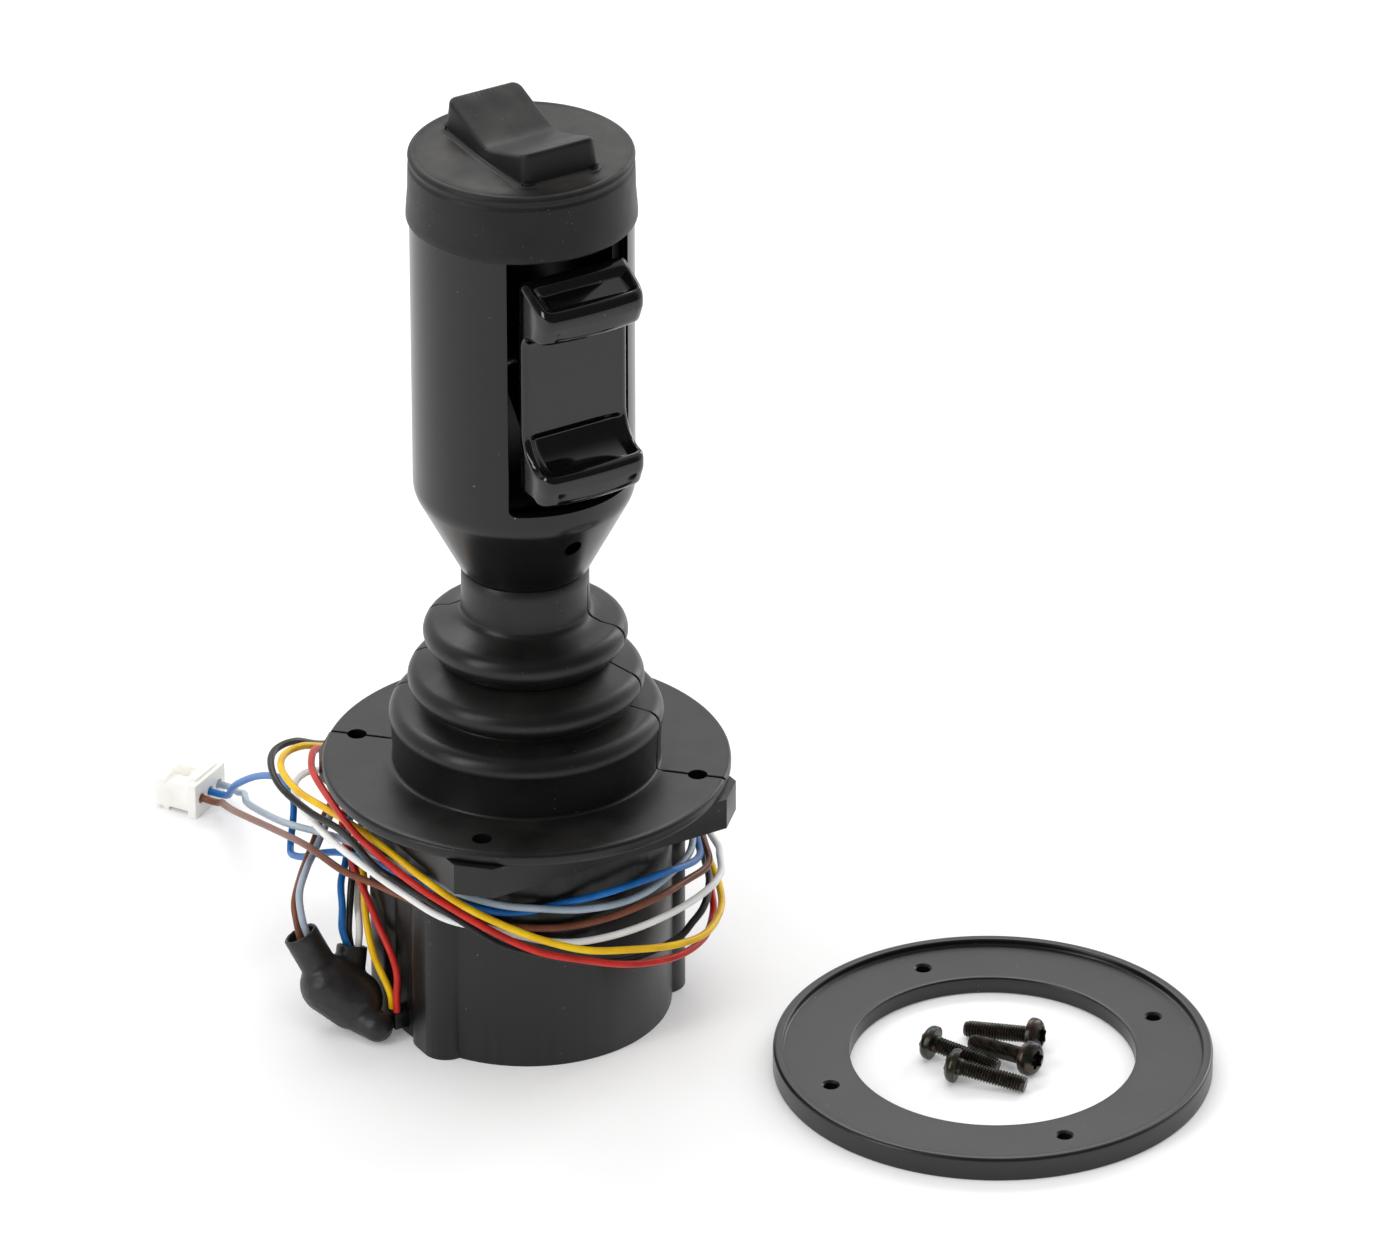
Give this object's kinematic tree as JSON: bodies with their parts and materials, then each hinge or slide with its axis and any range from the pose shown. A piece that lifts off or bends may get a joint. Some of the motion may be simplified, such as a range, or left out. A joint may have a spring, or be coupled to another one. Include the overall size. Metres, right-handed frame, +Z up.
{
  "type": "two-axis industrial joystick",
  "caption": "Spring-centred two-axis hand-grip joystick with a bellows boot, a thumb paddle, a top rocker, a loose mounting ring with screws, and colour-coded leads.",
  "frame": {"origin": "on the stick's axis at the housing's underside, which is level with the floor", "axes": "+Z up along the upright stick, front (the thumb paddle's side) at -Y, +X to the right of the operator's view of the paddle"},
  "size_m": [0.1784, 0.2604, 0.2226],
  "materials": {
    "black_nylon": "matt, moulded",
    "painted_black": "semi-matt",
    "black_rubber": "matt, moulded",
    "gloss_black": "high gloss",
    "black_oxide_steel": "black oxide",
    "zinc_steel": "zinc plated",
    "spring_steel": "bright",
    "cast_alloy": "machined",
    "bronze": "sintered",
    "board_green": "solder mask",
    "sensor_black": "moulded",
    "white_nylon": "moulded",
    "anodised_black": "black anodised",
    "sleeve_black": "shrunk",
    "jacket_yellow": "smooth",
    "jacket_red": "smooth",
    "jacket_black": "smooth",
    "jacket_white": "smooth",
    "jacket_brown": "smooth",
    "jacket_grey": "smooth",
    "jacket_blue": "smooth"
  },
  "bodies": {
    "base": {"housing": "black_nylon", "mounting_plate": "black_nylon", "housing_screws": "black_oxide_steel", "bearing_brackets": "cast_alloy", "bracket_screws": "zinc_steel", "trunnion_bushes": "bronze", "circuit_board": "board_green", "board_screws": "zinc_steel", "hall_sensor": "sensor_black", "pin_header": "white_nylon", "cable_grommet": "black_nylon", "boot": "black_rubber", "bezel_ring": "anodised_black", "bezel_screws": "black_oxide_steel", "shrink_sleeve": "sleeve_black", "connector_three_way": "white_nylon", "connector_four_way": "white_nylon", "x_return_spring": "spring_steel", "wire_yellow": "jacket_yellow", "wire_red": "jacket_red", "wire_black": "jacket_black", "wire_white": "jacket_white", "wire_brown": "jacket_brown", "wire_grey": "jacket_grey", "wire_blue": "jacket_blue"},
    "gimbal": {"gimbal_ring": "cast_alloy", "trunnion_pins": "zinc_steel", "cross_bushes": "bronze", "y_return_spring": "spring_steel"},
    "stick": {"shaft": "zinc_steel", "shaft_hub": "cast_alloy", "cross_pins": "zinc_steel", "magnet_holder": "black_nylon", "sensing_magnet": "cast_alloy", "handle_body": "painted_black", "clamp_screw": "black_oxide_steel", "switch_carrier": "black_nylon", "carrier_screws": "zinc_steel", "front_switch_body": "black_nylon", "front_pivot_pin": "zinc_steel", "top_switch_body": "black_nylon", "top_pivot_pin": "zinc_steel", "cap": "black_rubber"},
    "front_rocker": {"thumb_paddle": "gloss_black"},
    "top_rocker": {"rocker_actuator": "white_nylon", "rocker_cover": "black_rubber"}
  },
  "joints": [
    {"name": "tilt_x", "type": "hinge", "parent": "base", "child": "gimbal", "pos_m": [0, 0, 0.0675], "axis": [1, 0, 0], "range_deg": [-18, 18], "stiffness_Nm_per_rad": 3, "deforming": ["boot", "x_return_spring"]},
    {"name": "tilt_y", "type": "hinge", "parent": "gimbal", "child": "stick", "pos_m": [0, 0, 0.0675], "axis": [0, 1, 0], "range_deg": [-18, 18], "stiffness_Nm_per_rad": 3, "deforming": ["boot", "y_return_spring"]},
    {"name": "paddle_rock", "type": "hinge", "parent": "stick", "child": "front_rocker", "pos_m": [0, -0.008, 0.1693], "axis": [1, 0, 0], "range_deg": [-10, 10], "stiffness_Nm_per_rad": 0.5},
    {"name": "top_rock", "type": "hinge", "parent": "stick", "child": "top_rocker", "pos_m": [0, 0, 0.213], "axis": [1, 0, 0], "range_deg": [-6, 6], "stiffness_Nm_per_rad": 0.5}
  ]
}
